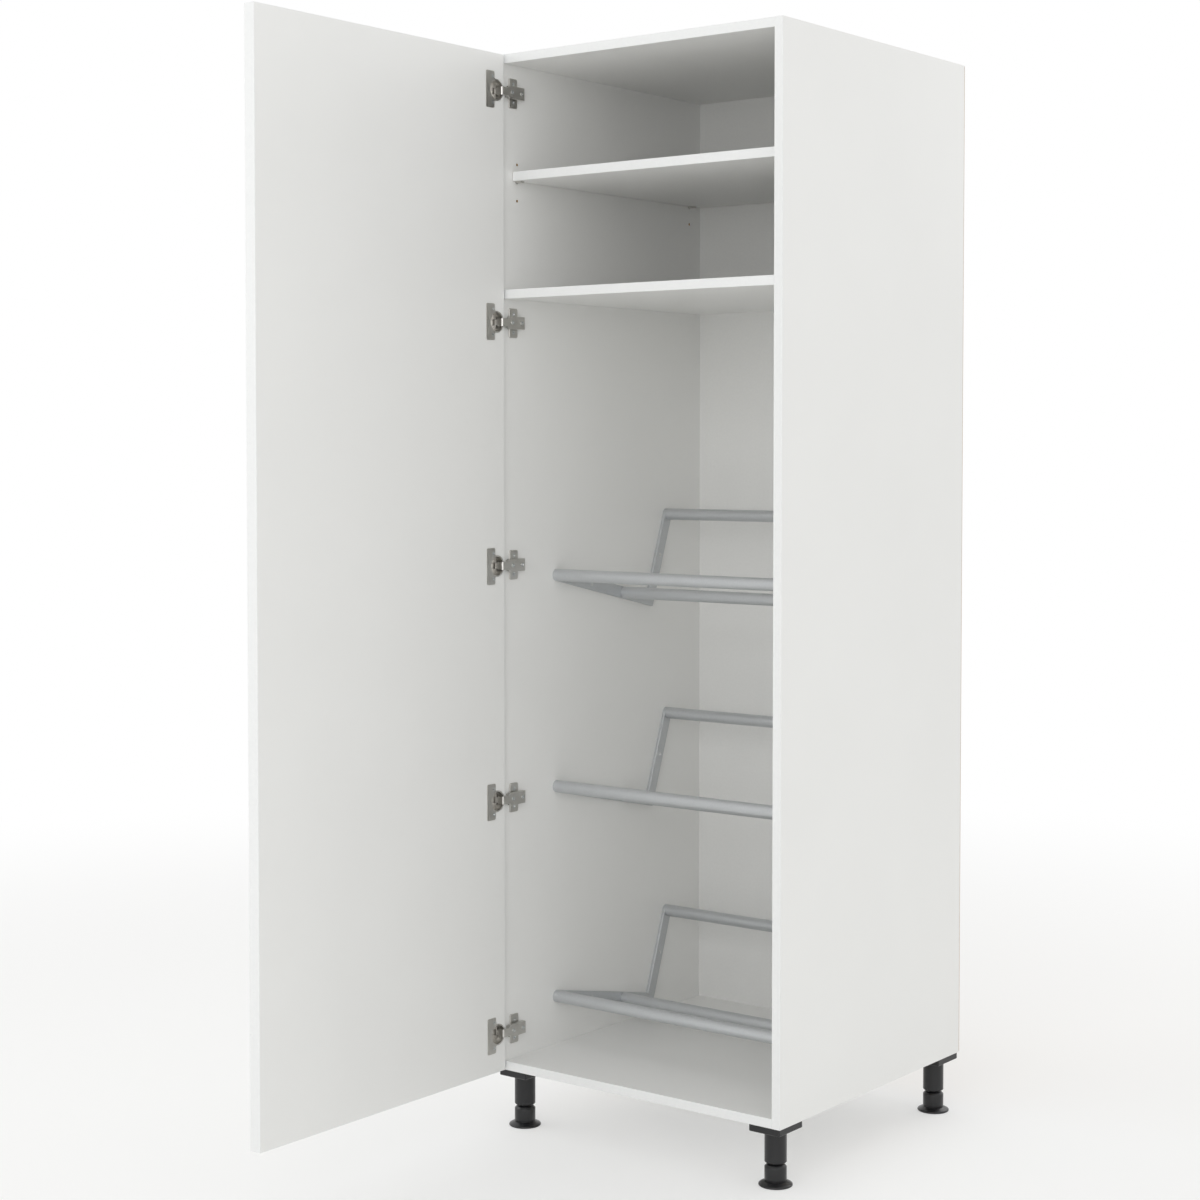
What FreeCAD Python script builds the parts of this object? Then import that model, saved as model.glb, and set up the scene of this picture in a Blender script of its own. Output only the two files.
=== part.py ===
# Tall kitchen cabinet with one hinged door, two shelves and three sloping crate holders
# Millimetres. X to the right, Y to the rear, Z up.
# Origin on the floor, mid-width, in the plane of the carcass front edges.
# Modelled with the door open at a right angle, hung on the left side panel.
import FreeCAD, Part
import math
import os
from FreeCAD import Vector

os.makedirs("parts", exist_ok=True)

# Carcass
CARCASS_WIDTH = 600.0
CARCASS_HEIGHT = 1800.0
PANEL_DEPTH = 600.0
PANEL_THICKNESS = 16.0
EDGE_BAND_THICKNESS = 1.0
CARCASS_ROUND_SHARE = 0.5  # of the edge band's thickness
BACK_THICKNESS = 3.0
BACK_INSET = 1.0
FIXED_SHELF_BELOW_TOP = 412.0  # its upper face, below the carcass top

# Glued dowels of the carcass corners
DOWEL_RADIUS = 4.0
DOWEL_LENGTH = 30.0
DOWEL_DEPTH_SHARE = 0.625  # of the side panel's thickness
DOWEL_END_DISTANCE = 50.0
DOWELS_PER_JOINT = 3

# Screws of the back panel
BACK_SCREW_RADIUS = 1.5
BACK_SCREW_HEAD_RADIUS = 2.9
BACK_SCREW_HEAD_DEPTH = 1.4
BACK_SCREW_LENGTH = 16.0
BACK_SCREW_END_DISTANCE = 40.0
BACK_SCREWS_PER_SIDE = 7
BACK_SCREW_REACH_SHARE = 0.35  # of half the inside width

# Adjustable shelf and the pins under it
ADJUSTABLE_SHELF_BELOW_TOP = 203.0  # its upper face, below the carcass top
SHELF_SETBACK = 24.0
SHELF_SIDE_GAP = 1.0
SHELF_REAR_GAP = 2.0
PIN_LINE = 37.0  # from the front edge, and from the rear edge
PIN_HOLE_PITCH = 32.0
PIN_RADIUS = 2.5
PIN_DEPTH_SHARE = 0.625  # of the side panel's thickness
TONGUE_LENGTH = 13.0
TONGUE_WIDTH = 9.0
TONGUE_THICKNESS = 3.0

# Door
DOOR_THICKNESS = 22.0
DOOR_SIDE_REVEAL = 1.5
DOOR_END_REVEAL = 2.0
DOOR_CLOSED_GAP = 3.0  # between the closed door and the carcass front
DOOR_OPEN_GAP = 6.0  # between the open door's hinge edge and the carcass front
DOOR_ROUND_SHARE = 0.8  # of the edge band's thickness

# Hinges: the bottom one above the carcass bottom, the upper one under the fixed shelf, the
# top one below the carcass top, and two between the bottom one and the upper one
BOTTOM_HINGE_HEIGHT = 70.0
UPPER_HINGE_BELOW_SHELF = 42.0
TOP_HINGE_BELOW_TOP = 66.0
LOWER_HINGE_SHARE = 0.33  # of the way from the bottom hinge to the upper one
MIDDLE_HINGE_SHARE = 0.66

# Hinge cup, sunk in the door
CUP_RADIUS = 17.5
CUP_WALL = 1.0
CUP_FLOOR = 1.0
CUP_FLANGE_THICKNESS = 1.2
CUP_RIM_WIDTH = 1.5
CUP_FLANGE_HEIGHT = 64.0
CUP_FLANGE_WIDTH = 22.0
CUP_FLANGE_START = 5.0  # from the cup's axis
CUP_FLANGE_NECK = 40.0
CUP_FLANGE_CORNER = 3.0
CUP_SCREW_SPACING = 45.0
CUP_SCREW_OFFSET = 9.5
CUP_SCREW_RADIUS = 1.75
CUP_SCREW_HEAD_RADIUS = 3.4
CUP_SCREW_HEAD_DEPTH = 1.1
CUP_SCREW_LENGTH = 13.0
BOSS_HALF_WIDTH = 3.6
BOSS_RISE = 3.2

# Hinge pin and arm
HINGE_PIN_RADIUS = 1.5
HINGE_PIN_HALF_LENGTH = 8.0
HINGE_RUNNING_CLEARANCE = 0.05
KNUCKLE_RADIUS = 2.5
KNUCKLE_HALF_WIDTH = 5.0
KNUCKLE_SIDE_CLEARANCE = 0.4
KNUCKLE_FLOOR_CLEARANCE = 0.4
KNUCKLE_WALL_CLEARANCE = 0.5
ARM_SHEET = 2.0
ARM_SWING_CLEARANCE = 0.7
ARM_PLATE_CLEARANCE = 1.0
ARM_LENGTH = 44.0
ARM_NECK_HALF_WIDTH = 7.0
ARM_NECK_TAPER = 4.0
ARM_BEND_RADIUS = 1.5  # inside
ARM_FLANGE_LENGTH = 5.5
ARM_ROUND_SHARE = 0.6  # of the sheet's thickness

# Mounting plate, on the side panel
PLATE_LINE = 24.0  # from the front edge
PLATE_WING_WIDTH = 22.0
PLATE_WING_HEIGHT = 52.0
PLATE_WING_THICKNESS = 2.5
PLATE_WING_CORNER = 3.0
PLATE_WING_ROUND_SHARE = 0.3  # of the wing's thickness
PLATE_SCREW_SPACING = 32.0
PLATE_BLOCK_START = 4.0
PLATE_BLOCK_HALF_WIDTH = 8.8
PLATE_BLOCK_SIDE_CLEARANCE = 0.3
ADJUSTING_SCREW_RADIUS = 2.0
ADJUSTING_SCREW_HEAD_RADIUS = 3.6
ADJUSTING_SCREW_HEAD_HEIGHT = 1.2
ADJUSTING_SCREW_DEPTH = 7.0
ADJUSTING_SCREW_PLACE = 11.0
CLAMP_SCREW_PLACE = 37.0

# Panel screws of the plates and of the crate holders
PANEL_SCREW_RADIUS = 2.5
PANEL_SCREW_HEAD_RADIUS = 4.2
PANEL_SCREW_HEAD_DEPTH = 1.7
PANEL_SCREW_DEPTH_SHARE = 0.7  # of the panel's thickness

# Crate holders: flat steel brackets on both side panels, with three tubes between them
HOLDER_FIRST_HEIGHT = 104.0  # front tube's axis above the carcass bottom
HOLDER_PITCH_SHARE = 0.282  # of the height from the carcass bottom to the fixed shelf
HOLDER_FRONT_DEPTH = 147.0  # front tube's axis behind the front edge
HOLDER_REAR_REACH = 340.0  # rear tube's axis behind the front tube's
HOLDER_REAR_RISE = 103.0
HOLDER_SLOPE = 12.0  # degrees, down to the rear
HOLDER_LEAN = 19.5  # degrees, back from the vertical
HOLDER_MIDDLE_SHARE = 0.7  # middle tube's axis, along the sloping leg
HOLDER_LEG_SCREW_SHARES = (0.35, 0.87)
HOLDER_UPRIGHT_SCREW_SHARE = 0.52
BRACKET_THICKNESS = 6.0
BRACKET_ROUND_SHARE = 0.2  # of the bracket's thickness
TUBE_RADIUS = 11.0
TUBE_WALL = 1.5
PLUG_LENGTH = 20.0
PLUG_SCREW_IN_PLUG = 15.0

# Feet
FOOT_HEIGHT = 105.0
FOOT_PLATE_WIDTH = 60.0
FOOT_PLATE_DEPTH = 70.0
FOOT_PLATE_THICKNESS = 12.0
FOOT_PLATE_INSET = 2.0
FOOT_PLATE_CORNER = 2.0
FOOT_PLATE_CHAMFER = 1.0
FOOT_SCREW_INSET = 8.0
FOOT_SCREW_RADIUS = 2.0
FOOT_SCREW_HEAD_RADIUS = 3.8
FOOT_SCREW_HEAD_DEPTH = 2.0
FOOT_SCREW_DEPTH_SHARE = 0.8  # of the panel's thickness
FOOT_RADIUS = 18.5
SLEEVE_GAP = 3.4
SLEEVE_LENGTH = 54.0
SLEEVE_CHAMFER = 1.2
SPINDLE_RADIUS = 9.0
SPINDLE_CLEARANCE = 0.08
SPINDLE_TOP_GAP = 3.0
COLLAR_CHAMFER = 4.0
GROOVE_DEPTH = 1.5
GROOVE_WIDTH = 1.2
DISC_RADIUS = 28.5
DISC_EDGE_HEIGHT = 3.0
DISC_HEIGHT = 8.0
DISC_EDGE_ROUND = 1.0

# Angles, in degrees
QUARTER_TURN = 90.0
FULL_TURN = 360.0
PARALLEL_WITHIN = 1.0

# Made from the sizes above
RIGHT = Vector(1, 0, 0)
REAR = Vector(0, 1, 0)
UP = Vector(0, 0, 1)
LEFT_SIDE = -1
RIGHT_SIDE = 1
SIDES = (LEFT_SIDE, RIGHT_SIDE)
HALF_WIDTH = CARCASS_WIDTH / 2
HALF_INSIDE = HALF_WIDTH - PANEL_THICKNESS
CARCASS_BOTTOM = FOOT_HEIGHT
CARCASS_TOP = CARCASS_BOTTOM + CARCASS_HEIGHT
DOWEL_IN_SIDE = PANEL_THICKNESS * DOWEL_DEPTH_SHARE
PANEL_SCREW_IN_PANEL = PANEL_THICKNESS * PANEL_SCREW_DEPTH_SHARE
FOOT_SCREW_LENGTH = FOOT_PLATE_THICKNESS + PANEL_THICKNESS * FOOT_SCREW_DEPTH_SHARE
PIN_DEPTH = PANEL_THICKNESS * PIN_DEPTH_SHARE
FIXED_SHELF_UNDERSIDE = CARCASS_TOP - FIXED_SHELF_BELOW_TOP - PANEL_THICKNESS
SHELF_UNDERSIDE = CARCASS_TOP - ADJUSTABLE_SHELF_BELOW_TOP - PANEL_THICKNESS
PIN_HEIGHT = SHELF_UNDERSIDE - PIN_RADIUS
PIN_LINES = (PIN_LINE, PANEL_DEPTH - PIN_LINE)
DOOR_WIDTH = CARCASS_WIDTH - 2 * DOOR_SIDE_REVEAL
DOOR_BOTTOM = CARCASS_BOTTOM + DOOR_END_REVEAL
DOOR_TOP = CARCASS_TOP - DOOR_END_REVEAL
DOOR_INNER_X = -HALF_WIDTH + DOOR_THICKNESS
DOOR_EDGE_ROUND = EDGE_BAND_THICKNESS * DOOR_ROUND_SHARE
CARCASS_EDGE_ROUND = EDGE_BAND_THICKNESS * CARCASS_ROUND_SHARE

# One turning axis takes the closed door to the open one, so the gaps place it.
# Both are measured on the door, from its hinge edge and from its inner face.
AXIS_FROM_EDGE = (DOOR_THICKNESS + DOOR_CLOSED_GAP - DOOR_OPEN_GAP - DOOR_SIDE_REVEAL) / 2
AXIS_DEPTH = (DOOR_THICKNESS - DOOR_CLOSED_GAP + DOOR_OPEN_GAP - DOOR_SIDE_REVEAL) / 2
AXIS_X = DOOR_INNER_X - AXIS_DEPTH
AXIS_Y = -DOOR_OPEN_GAP - AXIS_FROM_EDGE

# The cup's wall just clears the arm's knuckle, which turns inside it.
CUP_INNER_RADIUS = CUP_RADIUS - CUP_WALL
CUP_REACH = math.sqrt(CUP_INNER_RADIUS ** 2 - KNUCKLE_HALF_WIDTH ** 2)
CUP_CENTRE = AXIS_FROM_EDGE - KNUCKLE_RADIUS - KNUCKLE_WALL_CLEARANCE + CUP_REACH
CUP_INNER_DEPTH = AXIS_DEPTH + KNUCKLE_RADIUS + KNUCKLE_FLOOR_CLEARANCE
CUP_DEPTH = CUP_INNER_DEPTH + CUP_FLOOR

# The arm lies clear of the door's inner corner as it turns, and of the mounting plate's wings.
ARM_OVER_DOOR_X = AXIS_X + math.hypot(AXIS_FROM_EDGE, AXIS_DEPTH) + ARM_SWING_CLEARANCE
ARM_OVER_PLATE_X = -HALF_INSIDE + PLATE_WING_THICKNESS + ARM_PLATE_CLEARANCE + ARM_FLANGE_LENGTH
ARM_UNDERSIDE_X = max(ARM_OVER_DOOR_X, ARM_OVER_PLATE_X)
ARM_EDGE_ROUND = ARM_SHEET * ARM_ROUND_SHARE
ARM_HALF_WIDTH = PLATE_BLOCK_HALF_WIDTH + PLATE_BLOCK_SIDE_CLEARANCE + ARM_SHEET

BOTTOM_HINGE_Z = CARCASS_BOTTOM + BOTTOM_HINGE_HEIGHT
UPPER_HINGE_Z = FIXED_SHELF_UNDERSIDE - UPPER_HINGE_BELOW_SHELF
HINGE_HEIGHTS = {
    "bottom": BOTTOM_HINGE_Z,
    "lower": BOTTOM_HINGE_Z + (UPPER_HINGE_Z - BOTTOM_HINGE_Z) * LOWER_HINGE_SHARE,
    "middle": BOTTOM_HINGE_Z + (UPPER_HINGE_Z - BOTTOM_HINGE_Z) * MIDDLE_HINGE_SHARE,
    "upper": UPPER_HINGE_Z,
    "top": CARCASS_TOP - TOP_HINGE_BELOW_TOP,
}
BOTTOM_HOLDER_Z = CARCASS_BOTTOM + HOLDER_FIRST_HEIGHT
HOLDER_PITCH = (FIXED_SHELF_UNDERSIDE - CARCASS_BOTTOM) * HOLDER_PITCH_SHARE
HOLDER_HEIGHTS = {
    "bottom": BOTTOM_HOLDER_Z,
    "middle": BOTTOM_HOLDER_Z + HOLDER_PITCH,
    "top": BOTTOM_HOLDER_Z + HOLDER_PITCH + HOLDER_PITCH,
}
SIDE_NAMES = {LEFT_SIDE: "left", RIGHT_SIDE: "right"}
CROSS_PANELS = {
    "bottom_panel": CARCASS_BOTTOM,
    "fixed_shelf": FIXED_SHELF_UNDERSIDE,
    "top_panel": CARCASS_TOP - PANEL_THICKNESS,
}


def save(name, shapes):
    shape = shapes if isinstance(shapes, Part.Shape) else Part.makeCompound(shapes)
    shape.exportStep("parts/" + name + ".step")


def box(x_from, x_to, y_from, y_to, z_from, z_to):
    size = (x_to - x_from, y_to - y_from, z_to - z_from)
    return Part.makeBox(*size, Vector(x_from, y_from, z_from))


def inward(side):
    return RIGHT * -side


def screw(head, direction, radius, head_radius, head_depth, length):
    # Countersunk: a cone that narrows to the shank, flush at the point given
    cone = Part.makeCone(head_radius, radius, head_depth, head, direction)
    shank = Part.makeCylinder(radius, length, head, direction)
    return cone.fuse(shank).removeSplitter()


def cut_out(solid, tools):
    return solid.cut(tools).Solids[0]


def end_edges(solid, direction):
    # Edges round the flat face that lies furthest along the direction
    return max(solid.Faces, key=lambda face: face.CenterOfMass.dot(direction)).Edges


def spread(first, last, count):
    step = (last - first) / (count - 1)
    return [first + index * step for index in range(count)]


# Dowels, glued through every corner of the carcass
def dowels():
    lines = spread(DOWEL_END_DISTANCE, PANEL_DEPTH - DOWEL_END_DISTANCE, DOWELS_PER_JOINT)
    pieces = []
    for underside in CROSS_PANELS.values():
        for side in SIDES:
            for y in lines:
                start = Vector(side * (HALF_INSIDE + DOWEL_IN_SIDE), y, underside + PANEL_THICKNESS / 2)
                pieces.append(Part.makeCylinder(DOWEL_RADIUS, DOWEL_LENGTH, start, inward(side)))
    return pieces


# Back panel, laid on the rear edges and screwed to them
def back_screws():
    points = []
    low = CARCASS_BOTTOM + BACK_SCREW_END_DISTANCE
    high = CARCASS_TOP - BACK_SCREW_END_DISTANCE
    for side in SIDES:
        for z in spread(low, high, BACK_SCREWS_PER_SIDE):
            points.append((side * (HALF_WIDTH - PANEL_THICKNESS / 2), z))
    reach = HALF_INSIDE * BACK_SCREW_REACH_SHARE
    for underside in CROSS_PANELS.values():
        for side in SIDES:
            points.append((side * reach, underside + PANEL_THICKNESS / 2))
    return [
        screw(
            Vector(x, PANEL_DEPTH + BACK_THICKNESS, z),
            -REAR,
            BACK_SCREW_RADIUS,
            BACK_SCREW_HEAD_RADIUS,
            BACK_SCREW_HEAD_DEPTH,
            BACK_SCREW_LENGTH,
        )
        for x, z in points
    ]


def back_panel(screws):
    half = HALF_WIDTH - BACK_INSET
    panel = box(
        -half,
        half,
        PANEL_DEPTH,
        PANEL_DEPTH + BACK_THICKNESS,
        CARCASS_BOTTOM + BACK_INSET,
        CARCASS_TOP - BACK_INSET,
    )
    return cut_out(panel, screws)


# Panels between the sides, all of one size
def cross_panel(underside, tools):
    panel = box(
        -HALF_INSIDE,
        HALF_INSIDE,
        EDGE_BAND_THICKNESS,
        PANEL_DEPTH,
        underside,
        underside + PANEL_THICKNESS,
    )
    return cut_out(panel, tools)


# Shelf pins and the drilled rows that they plug into
def pin_hole(side, y, z):
    start = Vector(side * HALF_INSIDE, y, z)
    return Part.makeCylinder(PIN_RADIUS, PIN_DEPTH, start, inward(-side))


def shelf_pin(side, y):
    tongue_end = side * (HALF_INSIDE - TONGUE_LENGTH)
    tongue = box(
        min(tongue_end, side * HALF_INSIDE),
        max(tongue_end, side * HALF_INSIDE),
        y - TONGUE_WIDTH / 2,
        y + TONGUE_WIDTH / 2,
        SHELF_UNDERSIDE - TONGUE_THICKNESS,
        SHELF_UNDERSIDE,
    )
    return pin_hole(side, y, PIN_HEIGHT).fuse(tongue).removeSplitter()


def pin_holes(side):
    rows = (PIN_HEIGHT - PIN_HOLE_PITCH, PIN_HEIGHT, PIN_HEIGHT + PIN_HOLE_PITCH)
    return [pin_hole(side, y, z) for y in PIN_LINES for z in rows]


# Side panels, drilled for all that is fixed to them
def side_panel(side, tools):
    outer = side * HALF_WIDTH
    inner = side * HALF_INSIDE
    panel = box(
        min(outer, inner),
        max(outer, inner),
        EDGE_BAND_THICKNESS,
        PANEL_DEPTH,
        CARCASS_BOTTOM,
        CARCASS_TOP,
    )
    return cut_out(panel, tools)


# Edge bands, glued on and rounded along their outer edges
def is_along(edge, direction):
    run = edge.Vertexes[-1].Point - edge.Vertexes[0].Point
    if run.Length == 0:
        return False
    return abs(run.normalize().dot(direction)) > math.cos(math.radians(PARALLEL_WITHIN))


def rounded_band(strip, run, radius, is_outside):
    outer = [edge for edge in strip.Edges if is_along(edge, run) and is_outside(edge.CenterOfMass)]
    return strip.makeFillet(radius, outer)


def front_band(strip, run):
    return rounded_band(strip, run, CARCASS_EDGE_ROUND, lambda point: point.y < strip.CenterOfMass.y)


def carcass_edge_bands():
    bands = []
    for side in SIDES:
        edges = sorted((side * HALF_WIDTH, side * HALF_INSIDE))
        strip = box(*edges, 0, EDGE_BAND_THICKNESS, CARCASS_BOTTOM, CARCASS_TOP)
        bands.append(front_band(strip, UP))
    for underside in CROSS_PANELS.values():
        top = underside + PANEL_THICKNESS
        strip = box(-HALF_INSIDE, HALF_INSIDE, 0, EDGE_BAND_THICKNESS, underside, top)
        bands.append(front_band(strip, RIGHT))
    return bands


# Adjustable shelf, loose on its four pins
def adjustable_shelf():
    half = HALF_INSIDE - SHELF_SIDE_GAP
    front = SHELF_SETBACK + EDGE_BAND_THICKNESS
    rear = PANEL_DEPTH - SHELF_REAR_GAP
    return box(-half, half, front, rear, SHELF_UNDERSIDE, SHELF_UNDERSIDE + PANEL_THICKNESS)


def adjustable_shelf_edge_band():
    half = HALF_INSIDE - SHELF_SIDE_GAP
    front = SHELF_SETBACK
    rear = SHELF_SETBACK + EDGE_BAND_THICKNESS
    strip = box(-half, half, front, rear, SHELF_UNDERSIDE, SHELF_UNDERSIDE + PANEL_THICKNESS)
    return front_band(strip, RIGHT)


# Places on the open door: distance from its hinge edge, depth from its inner face, height
def on_door(from_edge, depth, height):
    return Vector(DOOR_INNER_X - depth, -DOOR_OPEN_GAP - from_edge, height)


def door_box(edge_from, edge_to, depth_from, depth_to, z_from, z_to):
    far = on_door(edge_to, depth_to, z_from)
    near = on_door(edge_from, depth_from, z_to)
    return box(far.x, near.x, far.y, near.y, far.z, near.z)


def door_cylinder(radius, from_edge, depth_from, depth_to, height):
    start = on_door(from_edge, depth_to, height)
    return Part.makeCylinder(radius, depth_to - depth_from, start, RIGHT)


# Hinge cup: a pressed pot with a screwed flange and two bosses that hold the pin
def cup_screws(height):
    return [
        screw(
            on_door(CUP_CENTRE + CUP_SCREW_OFFSET, -CUP_FLANGE_THICKNESS, height + z),
            -RIGHT,
            CUP_SCREW_RADIUS,
            CUP_SCREW_HEAD_RADIUS,
            CUP_SCREW_HEAD_DEPTH,
            CUP_SCREW_LENGTH,
        )
        for z in (-CUP_SCREW_SPACING / 2, CUP_SCREW_SPACING / 2)
    ]


def hinge_pin(height):
    start = Vector(AXIS_X, AXIS_Y, height - HINGE_PIN_HALF_LENGTH)
    return Part.makeCylinder(HINGE_PIN_RADIUS, 2 * HINGE_PIN_HALF_LENGTH, start, UP)


def cup_flange(height):
    start = CUP_CENTRE + CUP_FLANGE_START
    plate = door_box(
        start,
        start + CUP_FLANGE_WIDTH,
        -CUP_FLANGE_THICKNESS,
        0,
        height - CUP_FLANGE_HEIGHT / 2,
        height + CUP_FLANGE_HEIGHT / 2,
    )
    corners = [edge for edge in plate.Edges if is_along(edge, RIGHT)]
    plate = plate.makeFillet(CUP_FLANGE_CORNER, corners)
    rim_radius = CUP_RADIUS + CUP_RIM_WIDTH
    rim = door_cylinder(rim_radius, CUP_CENTRE, -CUP_FLANGE_THICKNESS, 0, height)
    tip = CUP_CENTRE - CUP_RADIUS + CUP_RIM_WIDTH
    outline = [
        on_door(start, 0, height - CUP_FLANGE_NECK / 2),
        on_door(start, 0, height + CUP_FLANGE_NECK / 2),
        on_door(tip, 0, height + rim_radius / 2),
        on_door(tip, 0, height - rim_radius / 2),
    ]
    web = Part.Face(Part.makePolygon(outline + outline[:1])).extrude(RIGHT * CUP_FLANGE_THICKNESS)
    return plate.fuse([rim, web])


def hinge_cup(height, tools):
    pot = door_cylinder(CUP_RADIUS, CUP_CENTRE, 0, CUP_DEPTH, height)
    mouth = door_cylinder(CUP_INNER_RADIUS, CUP_CENTRE, -CUP_FLANGE_THICKNESS, CUP_INNER_DEPTH, height)
    shell = pot.fuse(cup_flange(height)).cut(mouth)
    inner = KNUCKLE_HALF_WIDTH + KNUCKLE_SIDE_CLEARANCE
    for z_from, z_to in ((inner, CUP_RADIUS), (-CUP_RADIUS, -inner)):
        boss = door_box(
            AXIS_FROM_EDGE - BOSS_HALF_WIDTH,
            AXIS_FROM_EDGE + BOSS_HALF_WIDTH,
            AXIS_DEPTH - BOSS_RISE,
            CUP_INNER_DEPTH,
            height + z_from,
            height + z_to,
        )
        shell = shell.fuse(boss.common(mouth))
    return cut_out(shell.removeSplitter(), tools)


# Hinge arm: a channel over the mounting plate, bent forward and round into the cup
def arc(centre_x, centre_y, radius, start, end, height):
    points = []
    for angle in (start, (start + end) / 2, end):
        turn = math.radians(angle)
        points.append(Vector(centre_x + radius * math.cos(turn), centre_y + radius * math.sin(turn), height))
    return Part.Arc(*points).toShape()


def arm_neck(height):
    bottom = height - ARM_NECK_HALF_WIDTH
    inner_y = AXIS_Y - KNUCKLE_RADIUS + ARM_SHEET
    bend_x = ARM_UNDERSIDE_X - ARM_BEND_RADIUS
    bend_y = inner_y + ARM_BEND_RADIUS
    outer_bend = ARM_BEND_RADIUS + ARM_SHEET
    inner_arc = arc(bend_x, bend_y, ARM_BEND_RADIUS, -QUARTER_TURN, 0, bottom)
    outer_arc = arc(bend_x, bend_y, outer_bend, -QUARTER_TURN, 0, bottom)
    inner_start = inner_arc.Vertexes[0].Point
    inner_end = inner_arc.Vertexes[-1].Point
    outer_start = outer_arc.Vertexes[0].Point
    outer_end = outer_arc.Vertexes[-1].Point
    tip_inner = Vector(AXIS_X, inner_start.y, bottom)
    tip_outer = Vector(AXIS_X, outer_start.y, bottom)
    root_inner = Vector(inner_end.x, 0, bottom)
    root_outer = Vector(outer_end.x, 0, bottom)
    edges = [
        Part.makeLine(tip_outer, outer_start),
        outer_arc,
        Part.makeLine(outer_end, root_outer),
        Part.makeLine(root_outer, root_inner),
        Part.makeLine(root_inner, inner_end),
        inner_arc,
        Part.makeLine(inner_start, tip_inner),
        Part.makeLine(tip_inner, tip_outer),
    ]
    face = Part.Face(Part.Wire(Part.__sortEdges__(edges)))
    strip = face.extrude(UP * (2 * ARM_NECK_HALF_WIDTH))
    # Beside the bosses the strip is no wider than the knuckle
    swept = math.hypot(BOSS_HALF_WIDTH, AXIS_DEPTH - CUP_INNER_DEPTH) + KNUCKLE_SIDE_CLEARANCE
    for z_from, z_to in (
        (KNUCKLE_HALF_WIDTH, ARM_NECK_HALF_WIDTH),
        (-ARM_NECK_HALF_WIDTH, -KNUCKLE_HALF_WIDTH),
    ):
        relief = box(
            AXIS_X - KNUCKLE_RADIUS,
            AXIS_X + swept,
            AXIS_Y - swept,
            AXIS_Y + swept,
            height + z_from,
            height + z_to,
        )
        strip = strip.cut(relief)
    return strip


def arm_channel(height):
    outer_x = ARM_UNDERSIDE_X + ARM_SHEET
    corners = [
        (ARM_LENGTH, -ARM_HALF_WIDTH),
        (ARM_NECK_TAPER, -ARM_HALF_WIDTH),
        (0, -ARM_NECK_HALF_WIDTH),
        (0, ARM_NECK_HALF_WIDTH),
        (ARM_NECK_TAPER, ARM_HALF_WIDTH),
        (ARM_LENGTH, ARM_HALF_WIDTH),
    ]
    outline = [Vector(ARM_UNDERSIDE_X, y, height + z) for y, z in corners]
    top = Part.Face(Part.makePolygon(outline + outline[:1])).extrude(RIGHT * ARM_SHEET)
    flange_x = ARM_UNDERSIDE_X - ARM_FLANGE_LENGTH
    inner = ARM_HALF_WIDTH - ARM_SHEET
    low = box(
        flange_x,
        ARM_UNDERSIDE_X,
        ARM_NECK_TAPER,
        ARM_LENGTH,
        height - ARM_HALF_WIDTH,
        height - inner,
    )
    high = box(
        flange_x,
        ARM_UNDERSIDE_X,
        ARM_NECK_TAPER,
        ARM_LENGTH,
        height + inner,
        height + ARM_HALF_WIDTH,
    )
    channel = top.fuse([low, high]).removeSplitter()
    rounded = [
        edge
        for edge in channel.Edges
        if is_along(edge, REAR)
        and abs(edge.CenterOfMass.x - outer_x) < ARM_EDGE_ROUND
    ]
    return channel.makeFillet(ARM_EDGE_ROUND, rounded)


def adjusting_screws(height):
    pieces = []
    for y in (ADJUSTING_SCREW_PLACE, CLAMP_SCREW_PLACE):
        seat = Vector(ARM_UNDERSIDE_X + ARM_SHEET, y, height)
        head = Part.makeCylinder(ADJUSTING_SCREW_HEAD_RADIUS, ADJUSTING_SCREW_HEAD_HEIGHT, seat, RIGHT)
        shank = Part.makeCylinder(ADJUSTING_SCREW_RADIUS, ADJUSTING_SCREW_DEPTH, seat, -RIGHT)
        pieces.append(head.fuse(shank).removeSplitter())
    return pieces


def hinge_arm(height, screws):
    knuckle_start = Vector(AXIS_X, AXIS_Y, height - KNUCKLE_HALF_WIDTH)
    knuckle = Part.makeCylinder(KNUCKLE_RADIUS, 2 * KNUCKLE_HALF_WIDTH, knuckle_start, UP)
    bore_radius = HINGE_PIN_RADIUS + HINGE_RUNNING_CLEARANCE
    bore = Part.makeCylinder(bore_radius, 2 * KNUCKLE_HALF_WIDTH, knuckle_start, UP)
    arm = arm_channel(height).fuse([arm_neck(height), knuckle]).removeSplitter()
    return cut_out(arm, [bore] + screws)


# Mounting plate: a block under the arm, with two screwed wings
def plate_screws(height):
    return [
        screw(
            Vector(-HALF_INSIDE + PLATE_WING_THICKNESS, PLATE_LINE, height + z),
            -RIGHT,
            PANEL_SCREW_RADIUS,
            PANEL_SCREW_HEAD_RADIUS,
            PANEL_SCREW_HEAD_DEPTH,
            PLATE_WING_THICKNESS + PANEL_SCREW_IN_PANEL,
        )
        for z in (-PLATE_SCREW_SPACING / 2, PLATE_SCREW_SPACING / 2)
    ]


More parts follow.
